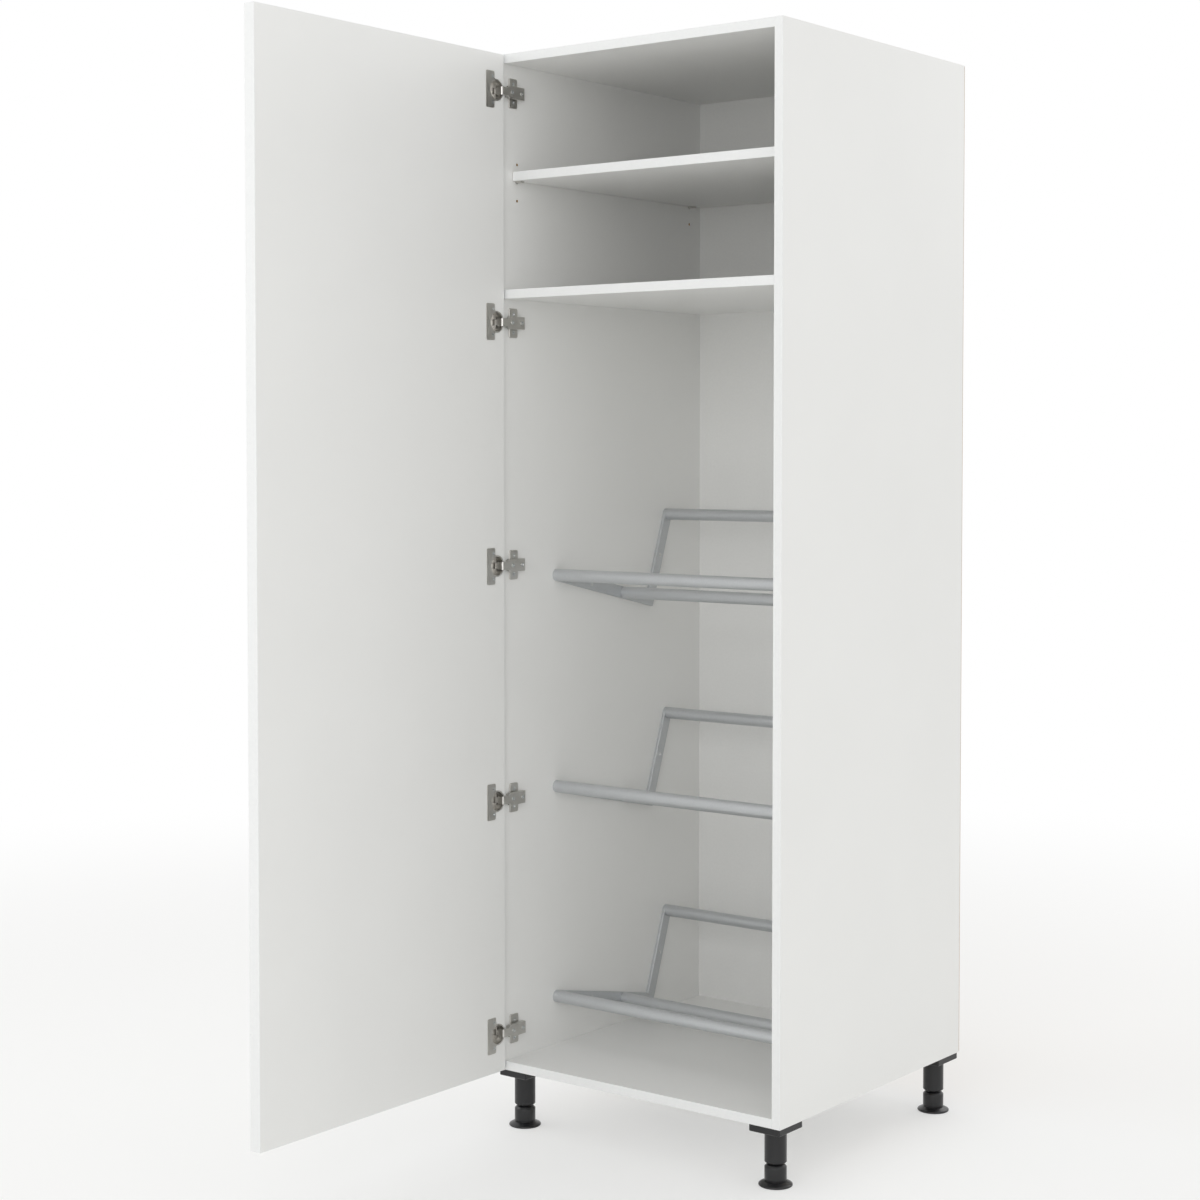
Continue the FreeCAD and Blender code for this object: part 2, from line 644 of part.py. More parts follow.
def mounting_plate(height, tools):
    wing = box(
        -HALF_INSIDE,
        -HALF_INSIDE + PLATE_WING_THICKNESS,
        PLATE_LINE - PLATE_WING_WIDTH / 2,
        PLATE_LINE + PLATE_WING_WIDTH / 2,
        height - PLATE_WING_HEIGHT / 2,
        height + PLATE_WING_HEIGHT / 2,
    )
    corners = [edge for edge in wing.Edges if is_along(edge, RIGHT)]
    wing = wing.makeFillet(PLATE_WING_CORNER, corners)
    wing = wing.makeFillet(PLATE_WING_THICKNESS * PLATE_WING_ROUND_SHARE, end_edges(wing, RIGHT))
    block = box(
        -HALF_INSIDE,
        ARM_UNDERSIDE_X,
        PLATE_BLOCK_START,
        ARM_LENGTH,
        height - PLATE_BLOCK_HALF_WIDTH,
        height + PLATE_BLOCK_HALF_WIDTH,
    )
    return cut_out(wing.fuse(block).removeSplitter(), tools)


# Door leaf, its edge bands and the bores for the cups
def door_panel(tools):
    band = EDGE_BAND_THICKNESS
    core = door_box(
        band,
        DOOR_WIDTH - band,
        0,
        DOOR_THICKNESS,
        DOOR_BOTTOM + band,
        DOOR_TOP - band,
    )
    return cut_out(core, tools)


def door_edge_bands():
    band = EDGE_BAND_THICKNESS
    radius = DOOR_EDGE_ROUND
    low = DOOR_BOTTOM + band
    high = DOOR_TOP - band
    hinge_side = door_box(0, band, 0, DOOR_THICKNESS, DOOR_BOTTOM, DOOR_TOP)
    free_side = door_box(DOOR_WIDTH - band, DOOR_WIDTH, 0, DOOR_THICKNESS, DOOR_BOTTOM, DOOR_TOP)
    bottom_end = door_box(band, DOOR_WIDTH - band, 0, DOOR_THICKNESS, DOOR_BOTTOM, low)
    top_end = door_box(band, DOOR_WIDTH - band, 0, DOOR_THICKNESS, high, DOOR_TOP)
    return [
        rounded_band(hinge_side, UP, radius, lambda point: point.y > hinge_side.CenterOfMass.y),
        rounded_band(free_side, UP, radius, lambda point: point.y < free_side.CenterOfMass.y),
        rounded_band(bottom_end, REAR, radius, lambda point: point.z < bottom_end.CenterOfMass.z),
        rounded_band(top_end, REAR, radius, lambda point: point.z > top_end.CenterOfMass.z),
    ]


# Crate holder: places along its sloping leg and its leaning upright
def holder_point(along, up, front_height):
    slope = math.radians(HOLDER_SLOPE)
    lean = math.radians(HOLDER_LEAN)
    y = HOLDER_FRONT_DEPTH + along * math.cos(slope) + up * math.sin(lean)
    z = front_height - along * math.sin(slope) + up * math.cos(lean)
    return y, z


def holder_corner():
    # Lengths of leg and upright, where the two axes meet
    slope = math.radians(HOLDER_SLOPE)
    lean = math.radians(HOLDER_LEAN)
    turn = math.cos(slope) * math.cos(lean) + math.sin(slope) * math.sin(lean)
    leg = (HOLDER_REAR_REACH * math.cos(lean) - HOLDER_REAR_RISE * math.sin(lean)) / turn
    upright = (HOLDER_REAR_REACH * math.sin(slope) + HOLDER_REAR_RISE * math.cos(slope)) / turn
    return leg, upright


def tube_places(front_height):
    leg, upright = holder_corner()
    return {
        "front": holder_point(0, 0, front_height),
        "middle": holder_point(leg * HOLDER_MIDDLE_SHARE, 0, front_height),
        "rear": holder_point(leg, upright, front_height),
    }


def bracket(side, front_height, tools):
    # Flat angle as wide as the tubes, sharp at its corner and round at both ends
    leg, upright = holder_corner()
    slope = math.radians(HOLDER_SLOPE)
    lean = math.radians(HOLDER_LEAN)
    wall_x = side * HALF_INSIDE
    front = Vector(wall_x, *holder_point(0, 0, front_height))
    corner = Vector(wall_x, *holder_point(leg, 0, front_height))
    rear = Vector(wall_x, *holder_point(leg, upright, front_height))
    above_leg = Vector(0, math.sin(slope), math.cos(slope))
    before_upright = Vector(0, -math.cos(lean), math.sin(lean))
    mitre = (above_leg + before_upright) / (1 + above_leg.dot(before_upright))
    outline = [
        front + above_leg * TUBE_RADIUS,
        corner + mitre * TUBE_RADIUS,
        rear + before_upright * TUBE_RADIUS,
        rear - before_upright * TUBE_RADIUS,
        corner - mitre * TUBE_RADIUS,
        front - above_leg * TUBE_RADIUS,
    ]
    face = Part.Face(Part.makePolygon(outline + outline[:1]))
    angle = face.extrude(inward(side) * BRACKET_THICKNESS)
    ends = [Part.makeCylinder(TUBE_RADIUS, BRACKET_THICKNESS, end, inward(side)) for end in (front, rear)]
    flat = angle.fuse(ends).removeSplitter()
    rounded = flat.makeFillet(BRACKET_THICKNESS * BRACKET_ROUND_SHARE, end_edges(flat, inward(side)))
    return cut_out(rounded, tools)


def bracket_screws(side, front_height):
    leg, upright = holder_corner()
    places = [holder_point(leg * share, 0, front_height) for share in HOLDER_LEG_SCREW_SHARES]
    places.append(holder_point(leg, upright * HOLDER_UPRIGHT_SCREW_SHARE, front_height))
    return [
        screw(
            Vector(side * (HALF_INSIDE - BRACKET_THICKNESS), y, z),
            inward(-side),
            PANEL_SCREW_RADIUS,
            PANEL_SCREW_HEAD_RADIUS,
            PANEL_SCREW_HEAD_DEPTH,
            BRACKET_THICKNESS + PANEL_SCREW_IN_PANEL,
        )
        for y, z in places
    ]


def plug_screws(side, front_height):
    return [
        screw(
            Vector(side * HALF_INSIDE, y, z),
            inward(side),
            PANEL_SCREW_RADIUS,
            PANEL_SCREW_HEAD_RADIUS,
            PANEL_SCREW_HEAD_DEPTH,
            BRACKET_THICKNESS + PLUG_SCREW_IN_PLUG,
        )
        for y, z in tube_places(front_height).values()
    ]


def tube(y, z):
    half = HALF_INSIDE - BRACKET_THICKNESS
    start = Vector(-half, y, z)
    outside = Part.makeCylinder(TUBE_RADIUS, 2 * half, start, RIGHT)
    inside = Part.makeCylinder(TUBE_RADIUS - TUBE_WALL, 2 * half, start, RIGHT)
    return outside.cut(inside)


def tube_plugs(side, front_height, tools):
    end_x = side * (HALF_INSIDE - BRACKET_THICKNESS)
    return [
        cut_out(
            Part.makeCylinder(TUBE_RADIUS - TUBE_WALL, PLUG_LENGTH, Vector(end_x, y, z), inward(side)),
            tools,
        )
        for y, z in tube_places(front_height).values()
    ]


# Feet: a screwed socket plate, a sleeve and a levelling foot that screws out of it
def foot_corners():
    first_y = FOOT_PLATE_INSET
    last_y = PANEL_DEPTH - FOOT_PLATE_INSET - FOOT_PLATE_DEPTH
    return {
        (side, end): (side * (HALF_WIDTH - FOOT_PLATE_INSET - FOOT_PLATE_WIDTH / 2), y + FOOT_PLATE_DEPTH / 2)
        for side in SIDES
        for end, y in (("front", first_y), ("rear", last_y))
    }


def foot_plate_screws(x, y):
    half_x = FOOT_PLATE_WIDTH / 2 - FOOT_SCREW_INSET
    half_y = FOOT_PLATE_DEPTH / 2 - FOOT_SCREW_INSET
    return [
        screw(
            Vector(x + across, y + along, CARCASS_BOTTOM - FOOT_PLATE_THICKNESS),
            UP,
            FOOT_SCREW_RADIUS,
            FOOT_SCREW_HEAD_RADIUS,
            FOOT_SCREW_HEAD_DEPTH,
            FOOT_SCREW_LENGTH,
        )
        for across in (-half_x, half_x)
        for along in (-half_y, half_y)
    ]


def foot_plate(x, y, tools):
    plate = box(
        x - FOOT_PLATE_WIDTH / 2,
        x + FOOT_PLATE_WIDTH / 2,
        y - FOOT_PLATE_DEPTH / 2,
        y + FOOT_PLATE_DEPTH / 2,
        CARCASS_BOTTOM - FOOT_PLATE_THICKNESS,
        CARCASS_BOTTOM,
    )
    corners = [edge for edge in plate.Edges if is_along(edge, UP)]
    plate = plate.makeFillet(FOOT_PLATE_CORNER, corners)
    return cut_out(plate.makeChamfer(FOOT_PLATE_CHAMFER, end_edges(plate, -UP)), tools)


def foot_sleeve(x, y):
    top = CARCASS_BOTTOM - FOOT_PLATE_THICKNESS
    start = Vector(x, y, top - SLEEVE_LENGTH)
    outside = Part.makeCylinder(FOOT_RADIUS, SLEEVE_LENGTH, start, UP)
    outside = outside.makeChamfer(SLEEVE_CHAMFER, end_edges(outside, -UP))
    bore = Part.makeCylinder(SPINDLE_RADIUS + SPINDLE_CLEARANCE, SLEEVE_LENGTH, start, UP)
    return outside.cut(bore)


def levelling_foot(x, y):
    sleeve_top = CARCASS_BOTTOM - FOOT_PLATE_THICKNESS
    collar_top = sleeve_top - SLEEVE_LENGTH - SLEEVE_GAP
    groove_top = DISC_HEIGHT + GROOVE_WIDTH
    profile = [
        (0, 0),
        (DISC_RADIUS - DISC_EDGE_ROUND, 0),
        (DISC_RADIUS, DISC_EDGE_ROUND),
        (DISC_RADIUS, DISC_EDGE_HEIGHT),
        (FOOT_RADIUS, DISC_HEIGHT),
        (FOOT_RADIUS - GROOVE_DEPTH, DISC_HEIGHT),
        (FOOT_RADIUS - GROOVE_DEPTH, groove_top),
        (FOOT_RADIUS, groove_top),
        (FOOT_RADIUS, collar_top - COLLAR_CHAMFER),
        (FOOT_RADIUS - COLLAR_CHAMFER, collar_top),
        (SPINDLE_RADIUS, collar_top),
        (SPINDLE_RADIUS, sleeve_top - SPINDLE_TOP_GAP),
        (0, sleeve_top - SPINDLE_TOP_GAP),
    ]
    outline = [Vector(x + radius, y, z) for radius, z in profile]
    face = Part.Face(Part.makePolygon(outline + outline[:1]))
    return face.revolve(Vector(x, y, 0), UP, FULL_TURN)


def build_hinges():
    every_cup_screw = []
    every_plate_screw = []
    every_adjusting_screw = []
    every_pin = []
    for name, height in HINGE_HEIGHTS.items():
        in_cup = cup_screws(height)
        in_plate = plate_screws(height)
        in_arm = adjusting_screws(height)
        pin = hinge_pin(height)
        save(name + "_hinge_cup", hinge_cup(height, in_cup + [pin]))
        save(name + "_hinge_arm", hinge_arm(height, in_arm))
        save(name + "_hinge_mounting_plate", mounting_plate(height, in_plate + in_arm))
        every_cup_screw += in_cup
        every_plate_screw += in_plate
        every_adjusting_screw += in_arm
        every_pin.append(pin)
    save("hinge_cup_screws", every_cup_screw)
    save("hinge_plate_screws", every_plate_screw)
    save("hinge_adjusting_screws", every_adjusting_screw)
    save("hinge_pins", every_pin)
    return every_cup_screw, every_plate_screw


def build_door(cup_screw_solids):
    bores = [
        door_cylinder(CUP_RADIUS, CUP_CENTRE, 0, CUP_DEPTH, height)
        for height in HINGE_HEIGHTS.values()
    ]
    save("door_panel", door_panel(bores + cup_screw_solids))
    save("door_edge_bands", door_edge_bands())


def build_crate_holders():
    wall_screws = {side: [] for side in SIDES}
    every_plug = []
    every_plug_screw = []
    for name, height in HOLDER_HEIGHTS.items():
        for side in SIDES:
            in_wall = bracket_screws(side, height)
            in_plugs = plug_screws(side, height)
            bracket_name = name + "_crate_holder_bracket_" + SIDE_NAMES[side]
            save(bracket_name, bracket(side, height, in_wall + in_plugs))
            every_plug += tube_plugs(side, height, in_plugs)
            every_plug_screw += in_plugs
            wall_screws[side] += in_wall
        for place, (y, z) in tube_places(height).items():
            save(name + "_crate_holder_" + place + "_tube", tube(y, z))
    save("crate_holder_tube_plugs", every_plug)
    save("crate_holder_plug_screws", every_plug_screw)
    save("crate_holder_wall_screws", wall_screws[LEFT_SIDE] + wall_screws[RIGHT_SIDE])
    return wall_screws


def build_feet():
    screws = {side: [] for side in SIDES}
    plates = []
    sleeves = []
    for (side, end), (x, y) in foot_corners().items():
        in_plate = foot_plate_screws(x, y)
        screws[side] += in_plate
        plates.append(foot_plate(x, y, in_plate))
        sleeves.append(foot_sleeve(x, y))
        save("levelling_foot_" + end + "_" + SIDE_NAMES[side], levelling_foot(x, y))
    save("foot_socket_plates", plates)
    save("foot_sleeves", sleeves)
    save("foot_plate_screws", screws[LEFT_SIDE] + screws[RIGHT_SIDE])
    return screws


def build_carcass(plate_screw_solids, wall_screws, foot_screws):
    joint_dowels = dowels()
    rear_screws = back_screws()
    for side in SIDES:
        tools = joint_dowels + rear_screws + wall_screws[side] + foot_screws[side] + pin_holes(side)
        if side == LEFT_SIDE:
            tools = tools + plate_screw_solids
        save("side_panel_" + SIDE_NAMES[side], side_panel(side, tools))
    floor_screws = foot_screws[LEFT_SIDE] + foot_screws[RIGHT_SIDE]
    for name, underside in CROSS_PANELS.items():
        save(name, cross_panel(underside, joint_dowels + rear_screws + floor_screws))
    save("back_panel", back_panel(rear_screws))
    save("back_panel_screws", rear_screws)
    save("corner_dowels", joint_dowels)
    save("carcass_edge_bands", carcass_edge_bands())
    save("adjustable_shelf", adjustable_shelf())
    save("adjustable_shelf_edge_band", adjustable_shelf_edge_band())
    save("shelf_pins", [shelf_pin(side, y) for side in SIDES for y in PIN_LINES])


cup_screw_solids, plate_screw_solids = build_hinges()
build_door(cup_screw_solids)
holder_screws = build_crate_holders()
foot_screws = build_feet()
build_carcass(plate_screw_solids, holder_screws, foot_screws)
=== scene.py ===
import math

import bmesh
import bpy
from mathutils import Matrix, Vector


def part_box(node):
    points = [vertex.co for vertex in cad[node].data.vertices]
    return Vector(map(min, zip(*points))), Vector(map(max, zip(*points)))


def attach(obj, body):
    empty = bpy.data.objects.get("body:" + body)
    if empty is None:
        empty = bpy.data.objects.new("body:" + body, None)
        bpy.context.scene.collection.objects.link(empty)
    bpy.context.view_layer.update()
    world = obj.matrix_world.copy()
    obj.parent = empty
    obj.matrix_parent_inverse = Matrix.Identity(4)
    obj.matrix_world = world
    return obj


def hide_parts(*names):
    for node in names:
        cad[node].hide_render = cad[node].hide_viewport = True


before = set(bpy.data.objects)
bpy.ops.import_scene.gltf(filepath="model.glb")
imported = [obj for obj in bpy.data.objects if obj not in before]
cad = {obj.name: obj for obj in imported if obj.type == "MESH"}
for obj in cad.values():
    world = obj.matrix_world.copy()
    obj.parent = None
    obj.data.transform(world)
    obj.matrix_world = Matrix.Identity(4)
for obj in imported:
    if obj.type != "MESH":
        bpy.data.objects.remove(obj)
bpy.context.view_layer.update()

stage_collection = bpy.context.scene.collection

# The picture is a perspective drawing seen from the front right, 2.27 m to the side of the
# cabinet's middle and 3 m before it. Its uprights are parallel, as a level camera with its frame
# shifted down by 14 % draws them. This camera looks 2 degrees down instead and is shifted by 6 %.
IMAGE_SIDE = 1200
FOCAL_LENGTH_PIXELS = 2235.5
CAMERA_PLACE = (2.2692, -3.0233, 1.2183)
CAMERA_TURN = math.radians(37.723)
CAMERA_DOWN = math.radians(2.109)
LOOKING_LEVEL = math.radians(90)
FRAME_SHIFT = -0.06  # of the frame's side; with more, other views cut off the cabinet's top
SENSOR_WIDTH = 36.0

camera_data = bpy.data.cameras.new("picture_camera")
camera_data.sensor_width = SENSOR_WIDTH
camera_data.lens = SENSOR_WIDTH * FOCAL_LENGTH_PIXELS / IMAGE_SIDE
camera_data.shift_y = FRAME_SHIFT
camera = bpy.data.objects.new("picture_camera", camera_data)
camera.location = CAMERA_PLACE
camera.rotation_euler = (LOOKING_LEVEL - CAMERA_DOWN, 0.0, CAMERA_TURN)
stage_collection.objects.link(camera)
bpy.context.scene.camera = camera

# Carcass boards: two side panels, top, bottom and fixed shelf, 16 mm chipboard with white
# melamine film pressed hot on both faces. They are sawn to size, drilled for dowels, screws
# and shelf pins, and glued together. Bare chips show only in the drilled holes and sawn ends.
FILM_WHITE = "F1F1EF"
FILM_WHITE_SHADE = "ECECEA"
FILM_CLOUD_MM = 240.0
FILM_ROUGHNESS = (0.34, 0.46)
FILM_IOR = 1.5
PEARL_GRAIN_MM = 2.5  # the embossed grain is under a millimetre, drawn coarser so that it shows
CHIP_PALE = "D8BC8E"
CHIP_MID = "BE9A68"
CHIP_DARK = "93693C"
CHIP_MID_PLACE = 0.45  # on the ramp from dark to pale
CHIP_MM = 3.5
CHIP_ROUGHNESS = 0.88
GLUE_SPECK_MM = 0.9
CUT_FACE_BELOW = 0.5  # how far a face looks along the board's thickness, 1 on its film

# A Mix node's sockets by number, because its colour and value sockets share their names
MIX_SHARE = 0
FIRST_VALUE, SECOND_VALUE, MIXED_VALUE = 2, 3, 0
FIRST_COLOUR, SECOND_COLOUR, MIXED_COLOUR = 6, 7, 2


def linear(hex_colour):
    """A colour socket's value for an sRGB hex colour."""
    parts = [int(hex_colour[i:i + 2], 16) / 255 for i in (0, 2, 4)]
    lit = [p / 12.92 if p <= 0.04045 else ((p + 0.055) / 1.055) ** 2.4 for p in parts]
    return (*lit, 1.0)


def per_mm(size_mm):
    """The texture scale at which a pattern repeats about every size_mm."""
    return 1000.0 / size_mm


def add_node(tree, kind, inputs=None, **settings):
    """Adds a node, sets its properties, and sets or links its inputs."""
    node = tree.nodes.new("ShaderNode" + kind)
    for key, value in settings.items():
        setattr(node, key, value)
    for key, value in (inputs or {}).items():
        if isinstance(value, bpy.types.NodeSocket):
            tree.links.new(value, node.inputs[key])
        else:
            node.inputs[key].default_value = value
    return node


def start_material(name):
    """An empty material: its node tree, its shader and the object's own coordinates."""
    material = bpy.data.materials.new(name)
    material.use_nodes = True
    tree = material.node_tree
    tree.nodes.clear()
    shader = add_node(tree, "BsdfPrincipled")
    add_node(tree, "OutputMaterial", {"Surface": shader.outputs[0]})
    place = add_node(tree, "TexCoord")
    return material, tree, shader, place


def join_shader(tree, shader, colour, roughness, relief=None):
    """Links what a material's nodes give to its shader."""
    tree.links.new(colour, shader.inputs["Base Color"])
    tree.links.new(roughness, shader.inputs["Roughness"])
    if relief is not None:
        tree.links.new(relief, shader.inputs["Normal"])


def dress(material, *node_names):
    """Gives CAD nodes a material through their material slots."""
    for node_name in node_names:
        for slot in cad[node_name].material_slots:
            slot.material = material


def melamine_board(name, thickness_axis):
    # Melamine film on chipboard: a clean, slightly warm white with a fine pearl grain and a
    # satin sheen; where the board is cut across, dull tan chips.
    material, tree, shader, place = start_material(name)
    cloud = add_node(
        tree, "TexNoise",
        {"Vector": place.outputs["Object"], "Scale": per_mm(FILM_CLOUD_MM)},
    )
    film = add_node(
        tree, "Mix",
        {
            MIX_SHARE: cloud.outputs["Fac"],
            FIRST_COLOUR: linear(FILM_WHITE),
            SECOND_COLOUR: linear(FILM_WHITE_SHADE),
        },
        data_type="RGBA",
    )
    chips = add_node(
        tree, "TexVoronoi",
        {"Vector": place.outputs["Object"], "Scale": per_mm(CHIP_MM)},
    )
    chip_tone = add_node(tree, "ValToRGB", {"Fac": chips.outputs["Color"]})
    chip_tone.color_ramp.elements[0].color = linear(CHIP_DARK)
    chip_tone.color_ramp.elements[1].color = linear(CHIP_PALE)
    chip_tone.color_ramp.elements.new(CHIP_MID_PLACE).color = linear(CHIP_MID)
    specks = add_node(
        tree, "TexNoise",
        {"Vector": place.outputs["Object"], "Scale": per_mm(GLUE_SPECK_MM), "Detail": 4.0},
    )
    core = add_node(
        tree, "Mix",
        {
            MIX_SHARE: specks.outputs["Fac"],
            FIRST_COLOUR: chip_tone.outputs["Color"],
            SECOND_COLOUR: linear(CHIP_MID),
        },
        data_type="RGBA",
    )
    facing = add_node(tree, "SeparateXYZ", {"Vector": place.outputs["Normal"]})
    flat = add_node(tree, "Math", {0: facing.outputs[thickness_axis]}, operation="ABSOLUTE")
    is_cut = add_node(tree, "Math", {0: flat.outputs[0], 1: CUT_FACE_BELOW}, operation="LESS_THAN")
    colour = add_node(
        tree, "Mix",
        {
            MIX_SHARE: is_cut.outputs[0],
            FIRST_COLOUR: film.outputs[MIXED_COLOUR],
            SECOND_COLOUR: core.outputs[MIXED_COLOUR],
        },
        data_type="RGBA",
    )
    pearl = add_node(
        tree, "TexNoise",
        {
            "Vector": place.outputs["Object"], "Scale": per_mm(PEARL_GRAIN_MM),
            "Detail": 3.0, "Roughness": 0.6,
        },
    )
    film_gloss = add_node(
        tree, "MapRange",
        {"Value": pearl.outputs["Fac"], "To Min": FILM_ROUGHNESS[0], "To Max": FILM_ROUGHNESS[1]},
    )
    gloss = add_node(
        tree, "Mix",
        {
            MIX_SHARE: is_cut.outputs[0],
            FIRST_VALUE: film_gloss.outputs[0],
            SECOND_VALUE: CHIP_ROUGHNESS,
        },
        data_type="FLOAT",
    )
    relief = add_node(
        tree, "Mix",
        {
            MIX_SHARE: is_cut.outputs[0],
            FIRST_VALUE: pearl.outputs["Fac"],
            SECOND_VALUE: chips.outputs["Distance"],
        },
        data_type="FLOAT",
    )
    bump = add_node(
        tree, "Bump",
        {"Height": relief.outputs[MIXED_VALUE], "Strength": 0.12, "Distance": 0.0004},
    )
    shader.inputs["IOR"].default_value = FILM_IOR
    join_shader(
        tree, shader,
        colour.outputs[MIXED_COLOUR], gloss.outputs[MIXED_VALUE], bump.outputs[0],
    )
    return material


side_board = melamine_board("white_melamine_side_board", "X")
level_board = melamine_board("white_melamine_level_board", "Z")
dress(side_board, "side_panel_left", "side_panel_right")
dress(level_board, "top_panel", "bottom_panel", "fixed_shelf")

# Edge bands: 1 mm white ABS strip, hot glued to each sawn edge that shows, trimmed flush and
# scraped. It is a touch cooler and glossier than the board's film.
ABS_WHITE = "EFF0EF"
ABS_WHITE_SHADE = "E9EAEA"
ABS_ROUGHNESS = (0.24, 0.36)
ABS_IOR = 1.52
SCRAPER_MARK_MM = 6.0

edge_band, tree, shader, place = start_material("white_abs_edge_band")
# Extruded ABS: smooth, faint chatter from the scraper, a soft highlight along the edge.
chatter = add_node(
    tree, "TexNoise",
    {"Vector": place.outputs["Object"], "Scale": per_mm(SCRAPER_MARK_MM), "Detail": 3.0},
)
band_tone = add_node(
    tree, "Mix",
    {
        MIX_SHARE: chatter.outputs["Fac"],
        FIRST_COLOUR: linear(ABS_WHITE),
        SECOND_COLOUR: linear(ABS_WHITE_SHADE),
    },
    data_type="RGBA",
)
band_gloss = add_node(
    tree, "MapRange",
    {"Value": chatter.outputs["Fac"], "To Min": ABS_ROUGHNESS[0], "To Max": ABS_ROUGHNESS[1]},
)
band_bump = add_node(
    tree, "Bump",
    {"Height": chatter.outputs["Fac"], "Strength": 0.08, "Distance": 0.0005},
)
shader.inputs["IOR"].default_value = ABS_IOR
join_shader(
    tree, shader, band_tone.outputs[MIXED_COLOUR], band_gloss.outputs[0], band_bump.outputs[0],
)
dress(edge_band, "carcass_edge_bands")

# Corner dowels: fluted beech pins, 8 by 30 mm, glued into the sides and the cross panels.
# They lie wholly inside the boards.
BEECH_PALE = "D9B88C"
BEECH_DARK = "B98F60"
BEECH_ROUGHNESS = 0.7
BEECH_GRAIN_MM = 1.2
BEECH_GRAIN_STRETCH = (0.1, 1.0, 1.0)  # ten times as long as it is wide

beech, tree, shader, place = start_material("turned_beech")
# Beech: pinkish tan with short fine grain along the pin, matt from the saw.
along = add_node(
    tree, "Mapping",
    {"Vector": place.outputs["Object"], "Scale": BEECH_GRAIN_STRETCH},
)
grain = add_node(
    tree, "TexNoise",
    {"Vector": along.outputs[0], "Scale": per_mm(BEECH_GRAIN_MM), "Detail": 4.0},
)
beech_tone = add_node(
    tree, "Mix",
    {
        MIX_SHARE: grain.outputs["Fac"],
        FIRST_COLOUR: linear(BEECH_PALE),
        SECOND_COLOUR: linear(BEECH_DARK),
    },
    data_type="RGBA",
)
tree.links.new(beech_tone.outputs[MIXED_COLOUR], shader.inputs["Base Color"])
shader.inputs["Roughness"].default_value = BEECH_ROUGHNESS
dress(beech, "corner_dowels")

# Back panel: 3 mm hardboard laid on the rear edges and screwed to them. Its inner face is
# roller coated white; the outer face is left raw, with the print of the press screen.
COATED_WHITE = "EEEEEC"
COATED_WHITE_SHADE = "E8E8E6"
COATED_ROUGHNESS = 0.52
COATED_FACE_BELOW = -0.5  # how far a face looks to the rear
ROLLER_GRAIN_MM = 5.0
HARDBOARD_PALE = "BA9E77"
HARDBOARD_MID = "A78B66"
HARDBOARD_DARK = "86694A"
HARDBOARD_ROUGHNESS = 0.82
FIBRE_CLOUD_MM = 70.0
FIBRE_MM = 5.0  # the fibre bundles are 1 to 2 mm, drawn coarser so that they show
SCREEN_MM = 6.0  # the press screen's mesh is 2 mm, drawn coarser so that it shows
WAVE_AT_SCALE_ONE = math.pi / 10  # a wave texture's own length from crest to crest

hardboard, tree, shader, place = start_material("white_coated_hardboard")
# Wood fibre board: matt white paint with a faint roller grain inside; outside brown felted
# fibre, cloudy and flecked, with a woven print.
roller = add_node(
    tree, "TexNoise",
    {"Vector": place.outputs["Object"], "Scale": per_mm(ROLLER_GRAIN_MM), "Detail": 2.0},
)
paint = add_node(
    tree, "Mix",
    {
        MIX_SHARE: roller.outputs["Fac"],
        FIRST_COLOUR: linear(COATED_WHITE),
        SECOND_COLOUR: linear(COATED_WHITE_SHADE),
    },
    data_type="RGBA",
)
cloud = add_node(
    tree, "TexNoise",
    {
        "Vector": place.outputs["Object"], "Scale": per_mm(FIBRE_CLOUD_MM),
        "Detail": 8.0, "Roughness": 0.75,
    },
)
felt = add_node(
    tree, "MapRange",
    {"Value": cloud.outputs["Fac"], "From Min": 0.3, "From Max": 0.7},
)
felted = add_node(
    tree, "Mix",
    {
        MIX_SHARE: felt.outputs[0],
        FIRST_COLOUR: linear(HARDBOARD_PALE),
        SECOND_COLOUR: linear(HARDBOARD_MID),
    },
    data_type="RGBA",
)
fibre = add_node(
    tree, "TexNoise",
    {
        "Vector": place.outputs["Object"], "Scale": per_mm(FIBRE_MM),
        "Detail": 4.0, "Roughness": 0.7, "Distortion": 1.5,
    },
)
fleck = add_node(
    tree, "MapRange",
    {"Value": fibre.outputs["Fac"], "From Min": 0.52, "From Max": 0.72, "To Max": 0.7},
)
raw = add_node(
    tree, "Mix",
    {
        MIX_SHARE: fleck.outputs[0],
        FIRST_COLOUR: felted.outputs[MIXED_COLOUR],
        SECOND_COLOUR: linear(HARDBOARD_DARK),
    },
    data_type="RGBA",
)
facing = add_node(tree, "SeparateXYZ", {"Vector": place.outputs["Normal"]})
is_coated = add_node(
    tree, "Math", {0: facing.outputs["Y"], 1: COATED_FACE_BELOW}, operation="LESS_THAN",
)
board_tone = add_node(
    tree, "Mix",
    {
        MIX_SHARE: is_coated.outputs[0],
        FIRST_COLOUR: raw.outputs[MIXED_COLOUR],
        SECOND_COLOUR: paint.outputs[MIXED_COLOUR],
    },
    data_type="RGBA",
)
wires = [
    add_node(
        tree, "TexWave",
        {
            "Vector": place.outputs["Object"],
            "Scale": per_mm(SCREEN_MM) * WAVE_AT_SCALE_ONE,
            "Distortion": 0.4,
        },
        bands_direction=direction,
    )
    for direction in ("X", "Z")
]
screen = add_node(
    tree, "Math", {0: wires[0].outputs["Fac"], 1: wires[1].outputs["Fac"]}, operation="MAXIMUM",
)
board_relief = add_node(
    tree, "Mix",
    {
        MIX_SHARE: is_coated.outputs[0],
        FIRST_VALUE: screen.outputs[0],
        SECOND_VALUE: roller.outputs["Fac"],
    },
    data_type="FLOAT",
)
board_bump = add_node(
    tree, "Bump",
    {"Height": board_relief.outputs[MIXED_VALUE], "Strength": 0.3, "Distance": 0.0005},
)
